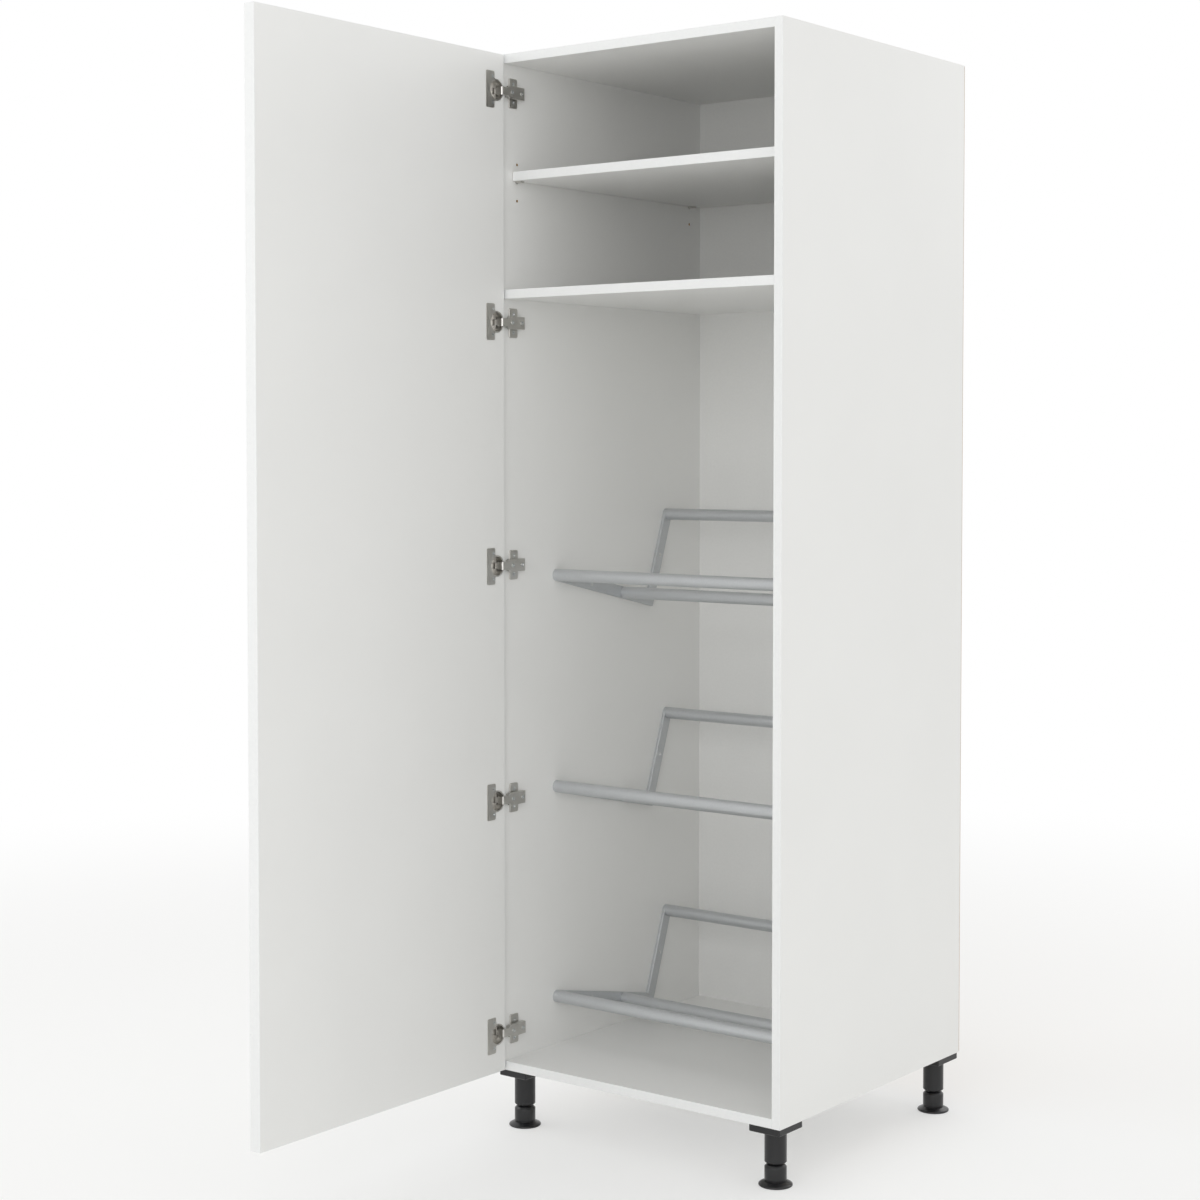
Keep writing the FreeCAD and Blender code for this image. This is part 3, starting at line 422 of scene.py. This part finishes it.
board_gloss = add_node(
    tree, "Mix",
    {
        MIX_SHARE: is_coated.outputs[0],
        FIRST_VALUE: HARDBOARD_ROUGHNESS,
        SECOND_VALUE: COATED_ROUGHNESS,
    },
    data_type="FLOAT",
)
join_shader(
    tree, shader,
    board_tone.outputs[MIXED_COLOUR], board_gloss.outputs[MIXED_VALUE], board_bump.outputs[0],
)
dress(hardboard, "back_panel")

# Wood screws: countersunk, cold headed with a cross recess, zinc plated and passivated. One
# group holds the back on, others the hinges, the crate holders and the feet.
ZINC_BLUE = "C9CED6"
ZINC_WARM = "D6D4CC"
ZINC_PATCH_MM = 4.0
ZINC_ROUGHNESS = (0.22, 0.4)
HEAD_SIDES = 24
CROSS_REACH_SHARE = 0.6  # of the head's radius, like the next two
CROSS_HALF_WIDTH_SHARE = 0.17
CROSS_DEPTH_SHARE = 0.5
CROSS_FLOOR_SHARE = 0.5  # of the mouth's size
CROSS_TURN_STEP = 37.0  # degrees from one screw to the next, so that no two stand alike
TIP_SHARE = 0.25  # of the screw's length
SAME_POINT = 0.00001  # corners that the CAD mesh repeats lie closer than this
SAME_PLACE_DIGITS = 4  # solids are put in order by tenths of a millimetre
CREASE_DEGREES = 35.0
SHARP_RIM = 0.0001
BACK_SCREW = {
    "head_radius": 0.0029, "shank_radius": 0.0015, "head_depth": 0.0014, "rim_height": SHARP_RIM,
}

zinc, tree, shader, place = start_material("zinc_plated_steel")
# Bright zinc with blue passivation: cool silver with a faint warm and blue bloom.
bloom = add_node(
    tree, "TexNoise",
    {"Vector": place.outputs["Object"], "Scale": per_mm(ZINC_PATCH_MM), "Detail": 3.0},
)
zinc_tone = add_node(
    tree, "Mix",
    {
        MIX_SHARE: bloom.outputs["Fac"],
        FIRST_COLOUR: linear(ZINC_BLUE),
        SECOND_COLOUR: linear(ZINC_WARM),
    },
    data_type="RGBA",
)
zinc_gloss = add_node(
    tree, "MapRange",
    {"Value": bloom.outputs["Fac"], "To Min": ZINC_ROUGHNESS[0], "To Max": ZINC_ROUGHNESS[1]},
)
join_shader(tree, shader, zinc_tone.outputs[MIXED_COLOUR], zinc_gloss.outputs[0])
shader.inputs["Metallic"].default_value = 1.0


def solids_in(node_name):
    """The lowest and highest corner of each solid in a CAD node, leftmost first."""
    work = bmesh.new()
    work.from_mesh(cad[node_name].data)
    bmesh.ops.remove_doubles(work, verts=work.verts, dist=SAME_POINT)
    unseen = set(work.verts)
    boxes = []
    while unseen:
        reached = [unseen.pop()]
        points = []
        while reached:
            vertex = reached.pop()
            points.append(vertex.co.copy())
            for edge in vertex.link_edges:
                other = edge.other_vert(vertex)
                if other in unseen:
                    unseen.remove(other)
                    reached.append(other)
        low = Vector([min(p[axis] for p in points) for axis in range(3)])
        high = Vector([max(p[axis] for p in points) for axis in range(3)])
        boxes.append((low, high))
    work.free()
    return sorted(boxes, key=lambda ends: [round(value, SAME_PLACE_DIGITS) for value in ends[0]])


def add_ring(work, matrix, radius, height, sides):
    """A circle of vertices at a height on the piece's own axis."""
    ring = []
    for index in range(sides):
        angle = 2 * math.pi * index / sides
        point = Vector((radius * math.cos(angle), radius * math.sin(angle), height))
        ring.append(work.verts.new(matrix @ point))
    return ring


def bridge(work, lower, upper):
    """Quads between two rings of as many vertices."""
    count = len(lower)
    for index in range(count):
        following = (index + 1) % count
        work.faces.new((lower[index], lower[following], upper[following], upper[index]))


def cross_outline(radius, height, shrink):
    """The twelve corners of a cross recess, from one arm turned by quarters."""
    reach = radius * CROSS_REACH_SHARE * shrink
    half = radius * CROSS_HALF_WIDTH_SHARE * shrink
    quarter = [(reach, -half), (reach, half), (half, half)]
    corners = []
    for turn in range(4):
        for x, y in quarter:
            for _ in range(turn):
                x, y = -y, x
            corners.append(Vector((x, y, height)))
    return corners


def add_screw(work, head, facing, turn, length, head_radius, shank_radius, head_depth, rim_height):
    """One cross-recessed screw: its head's flat stands at head and looks along facing."""
    matrix = Matrix.Translation(head) @ facing.to_track_quat("Z", "Y").to_matrix().to_4x4()
    matrix = matrix @ Matrix.Rotation(turn, 4, "Z")
    recess = CROSS_DEPTH_SHARE * head_radius
    rim = add_ring(work, matrix, head_radius, 0, HEAD_SIDES)
    mouth = [work.verts.new(matrix @ corner) for corner in cross_outline(head_radius, 0, 1)]
    floor = [
        work.verts.new(matrix @ corner)
        for corner in cross_outline(head_radius, -recess, CROSS_FLOOR_SHARE)
    ]
    loops = []
    for ring in (rim, mouth):
        for index, vertex in enumerate(ring):
            loops.append(work.edges.new((vertex, ring[(index + 1) % len(ring)])))
    bmesh.ops.triangle_fill(work, edges=loops, use_beauty=True)
    bridge(work, mouth, floor)
    work.faces.new(floor)
    below_rim = add_ring(work, matrix, head_radius, -rim_height, HEAD_SIDES)
    neck = add_ring(work, matrix, shank_radius, -head_depth, HEAD_SIDES)
    end = add_ring(work, matrix, shank_radius, -length * (1 - TIP_SHARE), HEAD_SIDES)
    bridge(work, below_rim, rim)
    bridge(work, neck, below_rim)
    bridge(work, end, neck)
    tip = work.verts.new(matrix @ Vector((0, 0, -length)))
    for index in range(HEAD_SIDES):
        work.faces.new((tip, end[(index + 1) % HEAD_SIDES], end[index]))


def settle(work, name, material, body, replaced):
    """Turns mesh work into a piece: smooth shaded between creases, riding on its body."""
    bmesh.ops.recalc_face_normals(work, faces=work.faces)
    crease = math.radians(CREASE_DEGREES)
    for face in work.faces:
        face.smooth = True
    for edge in work.edges:
        edge.smooth = len(edge.link_faces) != 2 or edge.calc_face_angle() < crease
    mesh = bpy.data.meshes.new(name)
    work.to_mesh(mesh)
    work.free()
    mesh.materials.append(material)
    piece = bpy.data.objects.new(name, mesh)
    stage_collection.objects.link(piece)
    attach(piece, body)
    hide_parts(replaced)


def recessed_screws(name, node_name, body, facing_at, sizes):
    """Replaces a CAD group of plain screws with cross-recessed ones in the same places."""
    work = bmesh.new()
    for index, (low, high) in enumerate(solids_in(node_name)):
        middle = (low + high) / 2
        facing = facing_at(middle)
        length = abs((high - low).dot(facing))
        head = middle + facing * (length / 2)
        add_screw(work, head, facing, math.radians(index * CROSS_TURN_STEP), length, **sizes)
    settle(work, name, zinc, body, node_name)


recessed_screws(
    "back_panel_screws_recessed", "back_panel_screws", "carcass",
    lambda middle: Vector((0, 1, 0)), BACK_SCREW,
)

# Adjustable shelf: the same board, loose on four pins, 24 mm back from the front edge with
# its own edge band. The pins are turned steel with a flat tongue, nickel plated.
NICKEL = "D4D2CE"
NICKEL_SHADE = "C8C6C1"
NICKEL_ROUGHNESS = (0.26, 0.36)
NICKEL_BLOOM_MM = 12.0
NICKEL_SCRATCH_MM = 1.5
NICKEL_SCRATCH_STRETCH = (1.0, 0.12, 1.0)  # rolling marks run from front to rear

dress(level_board, "adjustable_shelf")
dress(edge_band, "adjustable_shelf_edge_band")

nickel, tree, shader, place = start_material("nickel_plated_steel")
# Nickel over pressed steel: a warm bright grey, soft highlights, faint rolling marks.
bloom = add_node(
    tree, "TexNoise",
    {"Vector": place.outputs["Object"], "Scale": per_mm(NICKEL_BLOOM_MM), "Detail": 2.0},
)
nickel_tone = add_node(
    tree, "Mix",
    {
        MIX_SHARE: bloom.outputs["Fac"],
        FIRST_COLOUR: linear(NICKEL),
        SECOND_COLOUR: linear(NICKEL_SHADE),
    },
    data_type="RGBA",
)
rolled = add_node(
    tree, "Mapping",
    {"Vector": place.outputs["Object"], "Scale": NICKEL_SCRATCH_STRETCH},
)
scratch = add_node(
    tree, "TexNoise",
    {"Vector": rolled.outputs[0], "Scale": per_mm(NICKEL_SCRATCH_MM), "Detail": 5.0},
)
nickel_gloss = add_node(
    tree, "MapRange",
    {"Value": scratch.outputs["Fac"], "To Min": NICKEL_ROUGHNESS[0], "To Max": NICKEL_ROUGHNESS[1]},
)
nickel_bump = add_node(
    tree, "Bump",
    {"Height": scratch.outputs["Fac"], "Strength": 0.05, "Distance": 0.0002},
)
join_shader(
    tree, shader,
    nickel_tone.outputs[MIXED_COLOUR], nickel_gloss.outputs[0], nickel_bump.outputs[0],
)
shader.inputs["Metallic"].default_value = 1.0
dress(nickel, "shelf_pins")

# Door: one full-height leaf, 22 mm thick, of the same white board, banded on all four edges.
# Its hinge side is bored for five cups.
dress(side_board, "door_panel")
dress(edge_band, "door_edge_bands")

# Hinges: five concealed hinges. Each has a deep-drawn cup screwed into the door, a pressed arm
# that turns on a pin in the cup, and a mounting plate screwed to the side panel under the arm.
HINGE_LEVELS = ("bottom", "lower", "middle", "upper", "top")
PIN_STEEL = "B4B5B7"
PIN_ROUGHNESS = (0.14, 0.26)
PIN_MARK_MM = 0.8
PIN_MARK_STRETCH = (0.2, 0.2, 1.0)  # grinding marks run round the pin
PANEL_SCREW = {
    "head_radius": 0.0042, "shank_radius": 0.0025, "head_depth": 0.0017, "rim_height": SHARP_RIM,
}
CUP_SCREW = {
    "head_radius": 0.0034, "shank_radius": 0.00175, "head_depth": 0.0011, "rim_height": SHARP_RIM,
}
ADJUSTING_SCREW = {
    "head_radius": 0.0036, "shank_radius": 0.002, "head_depth": 0.0012, "rim_height": 0.00115,
}

for level in HINGE_LEVELS:
    dress(nickel, level + "_hinge_cup", level + "_hinge_arm", level + "_hinge_mounting_plate")

ground_steel, tree, shader, place = start_material("ground_steel")
# Ground and polished steel: neutral grey with fine marks round the pin.
round_marks = add_node(
    tree, "Mapping",
    {"Vector": place.outputs["Object"], "Scale": PIN_MARK_STRETCH},
)
marks = add_node(
    tree, "TexNoise",
    {"Vector": round_marks.outputs[0], "Scale": per_mm(PIN_MARK_MM), "Detail": 3.0},
)
pin_gloss = add_node(
    tree, "MapRange",
    {"Value": marks.outputs["Fac"], "To Min": PIN_ROUGHNESS[0], "To Max": PIN_ROUGHNESS[1]},
)
tree.links.new(pin_gloss.outputs[0], shader.inputs["Roughness"])
shader.inputs["Base Color"].default_value = linear(PIN_STEEL)
shader.inputs["Metallic"].default_value = 1.0
dress(ground_steel, "hinge_pins")

recessed_screws(
    "hinge_plate_screws_recessed", "hinge_plate_screws", "carcass",
    lambda middle: Vector((1, 0, 0)), PANEL_SCREW,
)
recessed_screws(
    "hinge_cup_screws_recessed", "hinge_cup_screws", "door",
    lambda middle: Vector((1, 0, 0)), CUP_SCREW,
)
recessed_screws(
    "hinge_adjusting_screws_recessed", "hinge_adjusting_screws", "carcass",
    lambda middle: Vector((1, 0, 0)), ADJUSTING_SCREW,
)

# Crate holders: three pairs of flat steel brackets screwed to the side panels, with three
# steel tubes across each pair for a drinks crate to lie on. All are powder coated silver.
HOLDER_LEVELS = ("bottom", "middle", "top")
COAT_SILVER = "C9CBCD"
COAT_SILVER_SHADE = "BEC1C3"
COAT_ROUGHNESS = (0.3, 0.42)
COAT_METALLIC = 0.55  # metal flakes in a clear binder
FLAKE_MM = 0.8  # the flakes are far under a millimetre, drawn coarser so that they show
ORANGE_PEEL_MM = 3.0
PLUG_GREY = "6A6C6E"
PLUG_GREY_DARK = "5E6062"
PLUG_ROUGHNESS = 0.55
PLUG_GRAIN_MM = 1.5

coat, tree, shader, place = start_material("silver_powder_coat")
# Silver powder coat on steel: a light metallic grey, fine flake sparkle, slight orange peel.
flakes = add_node(
    tree, "TexVoronoi",
    {"Vector": place.outputs["Object"], "Scale": per_mm(FLAKE_MM)},
)
coat_tone = add_node(
    tree, "Mix",
    {
        MIX_SHARE: flakes.outputs["Color"],
        FIRST_COLOUR: linear(COAT_SILVER),
        SECOND_COLOUR: linear(COAT_SILVER_SHADE),
    },
    data_type="RGBA",
)
peel = add_node(
    tree, "TexNoise",
    {"Vector": place.outputs["Object"], "Scale": per_mm(ORANGE_PEEL_MM), "Detail": 1.0},
)
coat_gloss = add_node(
    tree, "MapRange",
    {"Value": peel.outputs["Fac"], "To Min": COAT_ROUGHNESS[0], "To Max": COAT_ROUGHNESS[1]},
)
coat_bump = add_node(
    tree, "Bump",
    {"Height": peel.outputs["Fac"], "Strength": 0.1, "Distance": 0.0005},
)
join_shader(
    tree, shader, coat_tone.outputs[MIXED_COLOUR], coat_gloss.outputs[0], coat_bump.outputs[0],
)
shader.inputs["Metallic"].default_value = COAT_METALLIC

for level in HOLDER_LEVELS:
    for side in ("left", "right"):
        dress(coat, level + "_crate_holder_bracket_" + side)
    for row in ("front", "middle", "rear"):
        dress(coat, level + "_crate_holder_" + row + "_tube")

polyamide, tree, shader, place = start_material("grey_polyamide")
# Moulded polyamide: mid grey, matt, with the mould's fine spark grain.
spark = add_node(
    tree, "TexNoise",
    {"Vector": place.outputs["Object"], "Scale": per_mm(PLUG_GRAIN_MM), "Detail": 3.0},
)
plug_tone = add_node(
    tree, "Mix",
    {
        MIX_SHARE: spark.outputs["Fac"],
        FIRST_COLOUR: linear(PLUG_GREY),
        SECOND_COLOUR: linear(PLUG_GREY_DARK),
    },
    data_type="RGBA",
)
tree.links.new(plug_tone.outputs[MIXED_COLOUR], shader.inputs["Base Color"])
shader.inputs["Roughness"].default_value = PLUG_ROUGHNESS
dress(polyamide, "crate_holder_tube_plugs")
dress(zinc, "crate_holder_plug_screws")

recessed_screws(
    "crate_holder_wall_screws_recessed", "crate_holder_wall_screws", "carcass",
    lambda middle: Vector((-1 if middle.x > 0 else 1, 0, 0)), PANEL_SCREW,
)

# Feet: a moulded socket plate is screwed under each corner, with a sleeve fixed in it. The
# levelling foot screws out of the sleeve: flared disc, grooved collar to turn it by, spindle.
BLACK_PLASTIC = "161617"
BLACK_PLASTIC_WORN = "1E1E20"
PLASTIC_ROUGHNESS = (0.26, 0.4)
SPARK_GRAIN_MM = 1.2
SPINDLE_RADIUS = 0.009
THREAD_DEPTH = 0.0009
THREAD_PITCH = 0.004
THREAD_STEPS = 6  # rings in one turn of the thread
ROD_SIDES = 36
ROD_SUNK = 0.0005  # the rod's start, below the collar's top
FOOT_SIDES = 96
# Radius and height, from the floor up
DISC_PROFILE = (
    (0.0262, 0.0), (0.0275, 0.0003), (0.0283, 0.0010), (0.0285, 0.0019), (0.0283, 0.0028),
    (0.0276, 0.0036), (0.0255, 0.0047), (0.0225, 0.0062), (0.0200, 0.0073), (0.0188, 0.0079),
    (0.0180, 0.0081),
)
GROOVE_PROFILE = ((0.0171, 0.0082), (0.0170, 0.0084), (0.0170, 0.0090), (0.0171, 0.0092))
COLLAR_PROFILE = (
    (0.0178, 0.0093), (0.0183, 0.0097), (0.0185, 0.0103), (0.0185, 0.0312), (0.0184, 0.0316),
    (0.0182, 0.0319), (0.0150, 0.0351), (0.0147, 0.0354), (0.0143, 0.0356),
)
COLLAR_TOP = COLLAR_PROFILE[-1][1]
FOOT_PROFILE = DISC_PROFILE + GROOVE_PROFILE + COLLAR_PROFILE + ((SPINDLE_RADIUS, COLLAR_TOP),)
FOOT_PLATE_SCREW = {
    "head_radius": 0.0038, "shank_radius": 0.002, "head_depth": 0.002, "rim_height": SHARP_RIM,
}

black_plastic, tree, shader, place = start_material("black_polypropylene")
# Moulded polypropylene: deep black with a waxy gloss, fine spark grain from the mould.
grain = add_node(
    tree, "TexNoise",
    {"Vector": place.outputs["Object"], "Scale": per_mm(SPARK_GRAIN_MM), "Detail": 3.0},
)
plastic_tone = add_node(
    tree, "Mix",
    {
        MIX_SHARE: grain.outputs["Fac"],
        FIRST_COLOUR: linear(BLACK_PLASTIC),
        SECOND_COLOUR: linear(BLACK_PLASTIC_WORN),
    },
    data_type="RGBA",
)
plastic_gloss = add_node(
    tree, "MapRange",
    {"Value": grain.outputs["Fac"], "To Min": PLASTIC_ROUGHNESS[0], "To Max": PLASTIC_ROUGHNESS[1]},
)
plastic_bump = add_node(
    tree, "Bump",
    {"Height": grain.outputs["Fac"], "Strength": 0.08, "Distance": 0.0003},
)
join_shader(
    tree, shader,
    plastic_tone.outputs[MIXED_COLOUR], plastic_gloss.outputs[0], plastic_bump.outputs[0],
)
dress(black_plastic, "foot_socket_plates", "foot_sleeves")


def close_rings(work, rings):
    """A closed skin over a stack of rings."""
    work.faces.new(rings[0])
    work.faces.new(rings[-1])
    for lower, upper in zip(rings, rings[1:]):
        bridge(work, lower, upper)


def add_turned(work, x, y, profile):
    """A turned form from its radii and heights."""
    middle = Matrix.Translation((x, y, 0))
    rings = [add_ring(work, middle, radius, height, FOOT_SIDES) for radius, height in profile]
    close_rings(work, rings)


def add_threaded_rod(work, x, y, start, end):
    """A round rod with one thread winding up it."""
    rings = []
    steps = round((end - start) / THREAD_PITCH * THREAD_STEPS)
    for step in range(steps + 1):
        height = start + (end - start) * step / steps
        ring = []
        for index in range(ROD_SIDES):
            turn = index / ROD_SIDES
            wound = (height - start) / THREAD_PITCH - turn
            valley = 1 - abs(2 * (wound - math.floor(wound)) - 1)
            radius = SPINDLE_RADIUS - THREAD_DEPTH * valley
            angle = 2 * math.pi * turn
            point = (x + radius * math.cos(angle), y + radius * math.sin(angle), height)
            ring.append(work.verts.new(point))
        rings.append(ring)
    close_rings(work, rings)


for end in ("front", "rear"):
    for side in ("left", "right"):
        foot = "levelling_foot_" + end + "_" + side
        low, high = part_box(foot)
        x, y = (low.x + high.x) / 2, (low.y + high.y) / 2
        work = bmesh.new()
        add_turned(work, x, y, FOOT_PROFILE)
        add_threaded_rod(work, x, y, COLLAR_TOP - ROD_SUNK, high.z)
        settle(work, foot + "_moulded", black_plastic, foot, foot)

recessed_screws(
    "foot_plate_screws_recessed", "foot_plate_screws", "carcass",
    lambda middle: Vector((0, 0, -1)), FOOT_PLATE_SCREW,
)

# Studio: a plain white floor that runs out into a white surround, one broad soft lamp at the
# front right, three weaker ones round the cabinet, and an even grey sky for the rest.
PLAIN_WHITE = (1.0, 1.0, 1.0, 1.0)
FLOOR_WHITE = "F4F4F2"
FLOOR_ROUGHNESS = (0.7, 0.8)
FLOOR_MOTTLE_MM = 900.0
FLOOR_HALF = 9.0
FLOOR_GLOW_NEAR = 0.42  # share of plain white that the camera sees near the cabinet
FLOOR_FADE_START = 1.6
FLOOR_FADE_END = 4.0
SKY_LIGHT = 0.8
LAMPS_AIM = (0.0, 0.0, 0.95)
LAMPS = {  # place, side of the square and power in watts
    "front_softbox": ((1.5, -3.6, 1.8), 2.2, 30.0),
    "right_softbox": ((3.6, -1.2, 2.0), 1.8, 3.0),
    "left_softbox": ((-3.0, -1.6, 2.2), 1.6, 14.0),
    "rear_softbox": ((0.6, 3.4, 2.6), 1.8, 16.0),
}


def seen_by_camera(tree):
    """1 for rays from the camera, straight or by way of gloss or glass, and 0 for other light."""
    rays = add_node(tree, "LightPath")
    seen = add_node(
        tree, "Math",
        {0: rays.outputs["Is Camera Ray"], 1: rays.outputs["Is Glossy Ray"]},
        operation="MAXIMUM",
    )
    seen_through = add_node(
        tree, "Math",
        {0: seen.outputs[0], 1: rays.outputs["Is Transmission Ray"]},
        operation="MAXIMUM",
    )
    return seen_through.outputs[0]


floor_material, tree, shader, place = start_material("white_studio_floor")
# Painted studio floor: matt white; away from the cabinet it turns to the surround's plain white.
distance = add_node(tree, "VectorMath", {0: place.outputs["Object"]}, operation="LENGTH")
fade = add_node(
    tree, "MapRange",
    {
        "Value": distance.outputs["Value"],
        "From Min": FLOOR_FADE_START, "From Max": FLOOR_FADE_END,
        "To Min": FLOOR_GLOW_NEAR, "To Max": 1.0,
    },
    interpolation_type="SMOOTHSTEP",
)
glow_share = add_node(
    tree, "Math", {0: seen_by_camera(tree), 1: fade.outputs[0]}, operation="MULTIPLY",
)
glow = add_node(tree, "Emission", {"Color": PLAIN_WHITE, "Strength": 1.0})
floor_surface = add_node(
    tree, "MixShader",
    {0: glow_share.outputs[0], 1: shader.outputs[0], 2: glow.outputs[0]},
)
mottle = add_node(
    tree, "TexNoise",
    {"Vector": place.outputs["Object"], "Scale": per_mm(FLOOR_MOTTLE_MM)},
)
floor_gloss = add_node(
    tree, "MapRange",
    {"Value": mottle.outputs["Fac"], "To Min": FLOOR_ROUGHNESS[0], "To Max": FLOOR_ROUGHNESS[1]},
)
tree.links.new(floor_gloss.outputs[0], shader.inputs["Roughness"])
shader.inputs["Base Color"].default_value = linear(FLOOR_WHITE)
tree.links.new(floor_surface.outputs[0], tree.get_output_node("ALL").inputs["Surface"])

work = bmesh.new()
corners = [
    work.verts.new((x * FLOOR_HALF, y * FLOOR_HALF, 0))
    for x, y in ((-1, -1), (1, -1), (1, 1), (-1, 1))
]
work.faces.new(corners)
floor_mesh = bpy.data.meshes.new("studio_floor")
work.to_mesh(floor_mesh)
work.free()
floor_mesh.materials.append(floor_material)
studio_floor = bpy.data.objects.new("studio_floor", floor_mesh)
stage_collection.objects.link(studio_floor)

world = bpy.data.worlds.new("white_surround")
world.use_nodes = True
bpy.context.scene.world = world
tree = world.node_tree
tree.nodes.clear()
sky = add_node(tree, "Background", {"Color": PLAIN_WHITE, "Strength": SKY_LIGHT})
surround = add_node(tree, "Background", {"Color": PLAIN_WHITE, "Strength": 1.0})
both = add_node(
    tree, "MixShader",
    {0: seen_by_camera(tree), 1: sky.outputs[0], 2: surround.outputs[0]},
)
add_node(tree, "OutputWorld", {"Surface": both.outputs[0]})

for lamp_name, (lamp_place, lamp_side, lamp_power) in LAMPS.items():
    lamp_data = bpy.data.lights.new(lamp_name, "AREA")
    lamp_data.shape = "SQUARE"
    lamp_data.size = lamp_side
    lamp_data.energy = lamp_power
    lamp = bpy.data.objects.new(lamp_name, lamp_data)
    lamp.location = lamp_place
    aim = Vector(LAMPS_AIM) - Vector(lamp_place)
    lamp.rotation_euler = aim.to_track_quat("-Z", "Y").to_euler()
    stage_collection.objects.link(lamp)

bpy.context.scene.view_settings.view_transform = "Standard"
